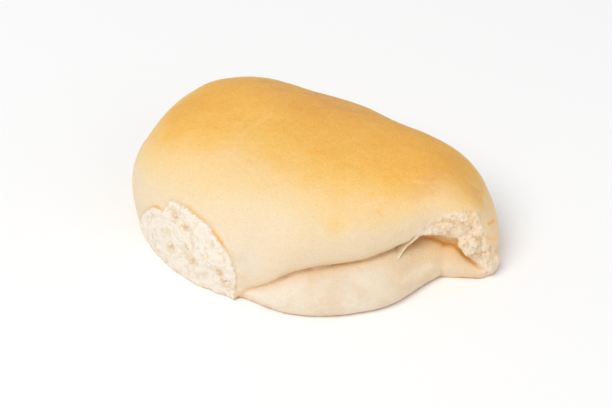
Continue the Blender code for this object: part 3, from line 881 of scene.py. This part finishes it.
def mixed(tree, first, second, share):
    made = newNode(tree, "Mix", data_type="RGBA")
    plug(tree, made.inputs[0], share)
    plug(tree, made.inputs[6], first)
    plug(tree, made.inputs[7], second)
    return made.outputs[2]


def worked(tree, operation, *values):
    made = newNode(tree, "Math", operation=operation)
    for socket, value in zip(made.inputs, values):
        plug(tree, socket, value)
    return made.outputs[0]


def ranged(tree, value, low, high, toLow=0.0, toHigh=1.0):
    made = newNode(tree, "MapRange", interpolation_type="SMOOTHSTEP")
    names = ("Value", "From Min", "From Max", "To Min", "To Max")
    for name, given in zip(names, (value, low, high, toLow, toHigh)):
        plug(tree, made.inputs[name], given)
    return made.outputs[0]


def placeOf(tree):
    return newNode(tree, "TexCoord").outputs["Object"]


def noiseAt(tree, name):
    scale, levels, strength, stretch = noises[name]
    stretched = newNode(tree, "Mapping")
    plug(tree, stretched.inputs["Vector"], placeOf(tree))
    plug(tree, stretched.inputs["Scale"], stretch)
    made = newNode(tree, "TexNoise")
    settings = {"Vector": stretched.outputs[0], "Scale": scale, "Detail": levels, "Roughness": strength}
    for socket, value in settings.items():
        plug(tree, made.inputs[socket], value)
    return made.outputs["Fac"]


def aboutZero(tree, value, middle, share):
    # a noise brought about zero and scaled
    return worked(tree, "MULTIPLY", worked(tree, "SUBTRACT", value, middle), share)


def maskOf(tree, name):
    return newNode(tree, "Attribute", attribute_name=name, attribute_type="GEOMETRY").outputs["Fac"]


def shareOf(tree, name, share):
    # a mask, scaled
    return worked(tree, "MULTIPLY", maskOf(tree, name), share)


def crustColour(tree):
    # cream to gold as the crust bakes, with streaks of duller crust and painted shade, and a blush partly
    # painted light
    mottle = aboutZero(tree, noiseAt(tree, "mottle"), 0.5, crust["mottled"])
    baked = worked(tree, "ADD", maskOf(tree, "baked"), mottle)
    grain = worked(tree, "ADD", noiseAt(tree, "grain"), noiseAt(tree, "coarseGrain"))
    grain = aboutZero(tree, grain, 1.0, crust["grained"])
    ramp = newNode(tree, "ValToRGB")
    for at, colour in crust["ramp"][1:-1]:
        ramp.color_ramp.elements.new(at)
    for stop, (at, colour) in zip(ramp.color_ramp.elements, crust["ramp"]):
        stop.position, stop.color = at, colour
    plug(tree, ramp.inputs[0], worked(tree, "ADD", worked(tree, "MULTIPLY", baked, crust["full"]), grain))
    streaks = ranged(tree, noiseAt(tree, "streaks"), *crust["streaked"])
    # brown streaks, partly duller crust and partly painted shade
    streaked = mixed(tree, ramp.outputs["Color"], crust["dullAndShade"], shareOf(tree, "dullAndShade", streaks))
    # the blush, partly painted light on the shaded right side
    return mixed(tree, streaked, crust["blushAndLight"], maskOf(tree, "blushAndLight"))


def lowerColour(tree):
    # the lower half's paler skin, tan in places and warmer to the right
    tan = ranged(tree, noiseAt(tree, "tan"), *crust["tanned"])
    gold = ranged(tree, noiseAt(tree, "gold"), *crust["gilded"])
    cool = mixed(tree, crust["lip"], crust["lipTan"], tan)
    warm = mixed(tree, crust["lipWarm"], crust["lipGold"], gold)
    return mixed(tree, cool, warm, maskOf(tree, "warm"))


def crumbColour(tree):
    # the white crumb with its tan patches, and painted shade in its pores, pits and hollows
    blotches = worked(tree, "ADD", noiseAt(tree, "blotches"), noiseAt(tree, "fibres"))
    patches = ranged(tree, blotches, *crust["patched"])
    cool = mixed(tree, crust["crumb"], crust["patch"], patches)
    warm = mixed(tree, crust["crumbWarm"], crust["patchWarm"], patches)
    torn = mixed(tree, cool, warm, maskOf(tree, "warm"))
    return mixed(tree, torn, crust["pore"], shareOf(tree, "pore", crust["poreShadeShare"]))


def freckled(tree, colour):
    # small dark dots in some places
    cells = newNode(tree, "TexVoronoi")
    plug(tree, cells.inputs["Vector"], placeOf(tree))
    plug(tree, cells.inputs["Scale"], crust["freckleScale"])
    dots = ranged(tree, cells.outputs["Distance"], *crust["freckle"])
    some = ranged(tree, noiseAt(tree, "freckles"), *crust["freckled"])
    return mixed(tree, colour, crust["deep"], worked(tree, "MULTIPLY", dots, some))


def doughMaterial():
    material = bpy.data.materials.new("soft dough")
    material.use_nodes = True
    tree = material.node_tree
    shader = tree.nodes["Principled BSDF"]

    colour = mixed(tree, crustColour(tree), lowerColour(tree), maskOf(tree, "lower"))
    colour = freckled(tree, colour)
    # painted shadow: the crust's golden edge darkened where the left tear's crumb rim stands over it
    colour = mixed(tree, colour, crust["rim"], maskOf(tree, "rim"))
    # pale marks; those along the tongue's lip are painted highlight
    pale = worked(tree, "MAXIMUM", shareOf(tree, "mark", -1.0), 0.0)
    colour = mixed(tree, colour, crust["pale"], pale)
    colour = mixed(tree, colour, crumbColour(tree), maskOf(tree, "crumb"))
    dark = worked(tree, "MAXIMUM", maskOf(tree, "mark"), 0.0)
    colour = mixed(tree, colour, crust["dash"], dark)
    specks = worked(tree, "MAXIMUM", aboutZero(tree, noiseAt(tree, "specks"), 0.5, crust["specked"]), 0.0)
    colour = mixed(tree, colour, crust["speck"], specks)
    # painted shade in the folds and the mouth, then a darker painted line along the crease
    colour = mixed(tree, colour, crust["fold"], shareOf(tree, "fold", crust["foldShare"]))
    colour = mixed(tree, colour, crust["line"], shareOf(tree, "line", crust["lineShare"]))
    scorched = ranged(tree, noiseAt(tree, "scorch"), *crust["scorched"])
    colour = mixed(tree, colour, crust["sole"], shareOf(tree, "sole", scorched))

    bump = newNode(tree, "Bump")
    skinBump = worked(tree, "MULTIPLY", noiseAt(tree, "skinBump"), crust["skinBump"])
    plug(tree, bump.inputs["Strength"], crust["bumpStrength"])
    plug(tree, bump.inputs["Distance"], crust["bumpDepth"])
    plug(tree, bump.inputs["Height"], worked(tree, "ADD", noiseAt(tree, "fineBump"), skinBump))
    torn = maskOf(tree, "crumb")
    settings = {
        "Base Color": colour,
        "Roughness": ranged(tree, torn, 0.0, 1.0, crust["roughness"], crust["crumbRoughness"]),
        "Specular IOR Level": crust["shine"],
        "Subsurface Weight": crust["softness"],
        "Subsurface Radius": crust["softRadius"],
        "Subsurface Scale": crust["softScale"],
        "Normal": bump.outputs["Normal"],
    }
    for name, value in settings.items():
        plug(tree, shader.inputs[name], value)
    print("dough coloured")
    return material


def makePiece(name, mesh, material):
    piece = bpy.data.objects.new(name, mesh)
    bpy.context.scene.collection.objects.link(piece)
    mesh.materials.append(material)
    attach(piece, "root")
    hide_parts("coco_bread")


softDough = doughMaterial()
breadMesh, webMesh = makeBread(), makeWeb()
placed = rowsOf(breadMesh.vertices, "co", 3)
middle = (placed.min(axis=0) + placed.max(axis=0)) / 2
low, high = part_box("coco_bread")
shift = ((low + high) / 2 - Vector(middle)) * Vector((1, 1, 0))  # to where the frame has the bread
for mesh in (breadMesh, webMesh):
    mesh.transform(Matrix.Translation(shift))
    mesh.shade_smooth()
breadMesh.set_sharp_from_angle(angle=math.radians(form["sharpAngle"]))
makePiece("coco_bread_dough", breadMesh, softDough)
makePiece("coco_bread_web", webMesh, softDough)
print("bread:", len(breadMesh.polygons), "faces, moved by", [round(step / mm, 2) for step in shift], "mm")

# The studio: a pale floor, a broad soft light from the upper left and a pale surround. In metres.
studio = {
    "floor": (0.97, 0.97, 0.97, 1.0), "floorRoughness": 0.9, "floorReach": 6.0, "floorDrop": 0.0001,
    "surround": 0.56,
    "keyPlace": (-1.0, -1.2, 2.2), "keySize": 1.8, "keyPower": 40.0,
    "fillPlace": (1.4, -1.6, 1.0), "fillSize": 2.0, "fillPower": 6.4,
    "aim": (-0.0033, 0.0012, 0.0115), "elevation": 38.0, "distance": 0.70, "lens": 101.0, "sensor": 36.0,
}


def addToScene(name, data):
    added = bpy.data.objects.new(name, data)
    bpy.context.scene.collection.objects.link(added)
    return added


def turnTo(thing, way):
    # the thing's own -Z axis, which lights and cameras look along, turned the given way
    thing.rotation_mode = "QUATERNION"
    thing.rotation_quaternion = way.to_track_quat("-Z", "Y")


def addLight(name):
    light = bpy.data.lights.new(name, "AREA")
    light.shape = "DISK"
    light.size = studio[name + "Size"]
    light.energy = studio[name + "Power"]
    lamp = addToScene(name, light)
    lamp.location = studio[name + "Place"]
    turnTo(lamp, Vector(studio["aim"]) - lamp.location)


def addFloor():
    reach, height = studio["floorReach"], -studio["floorDrop"]
    corners = [(x * reach, y * reach, height) for x, y in ((-1, -1), (1, -1), (1, 1), (-1, 1))]
    mesh = bpy.data.meshes.new("floor")
    mesh.from_pydata(corners, [], [(0, 1, 2, 3)])
    pale = bpy.data.materials.new("pale floor")
    pale.use_nodes = True
    shader = pale.node_tree.nodes["Principled BSDF"]
    shader.inputs["Base Color"].default_value = studio["floor"]
    shader.inputs["Roughness"].default_value = studio["floorRoughness"]
    mesh.materials.append(pale)
    floor = addToScene("floor", mesh)


def addSurround():
    world = bpy.data.worlds.new("surround")
    world.use_nodes = True
    background = world.node_tree.nodes["Background"]
    background.inputs["Color"].default_value = (1, 1, 1, 1)
    background.inputs["Strength"].default_value = studio["surround"]
    bpy.context.scene.world = world


def addCamera():
    camera = addToScene("camera", bpy.data.cameras.new("camera"))
    tilt = math.radians(studio["elevation"])
    back = Vector((0, -math.cos(tilt), math.sin(tilt)))
    camera.location = Vector(studio["aim"]) + back * studio["distance"]
    turnTo(camera, -back)
    camera.data.lens = studio["lens"]
    camera.data.sensor_width = studio["sensor"]
    bpy.context.scene.camera = camera


addFloor()
addSurround()
addLight("key")
addLight("fill")
addCamera()
bpy.context.scene.view_settings.view_transform = "Standard"
print("studio ready")
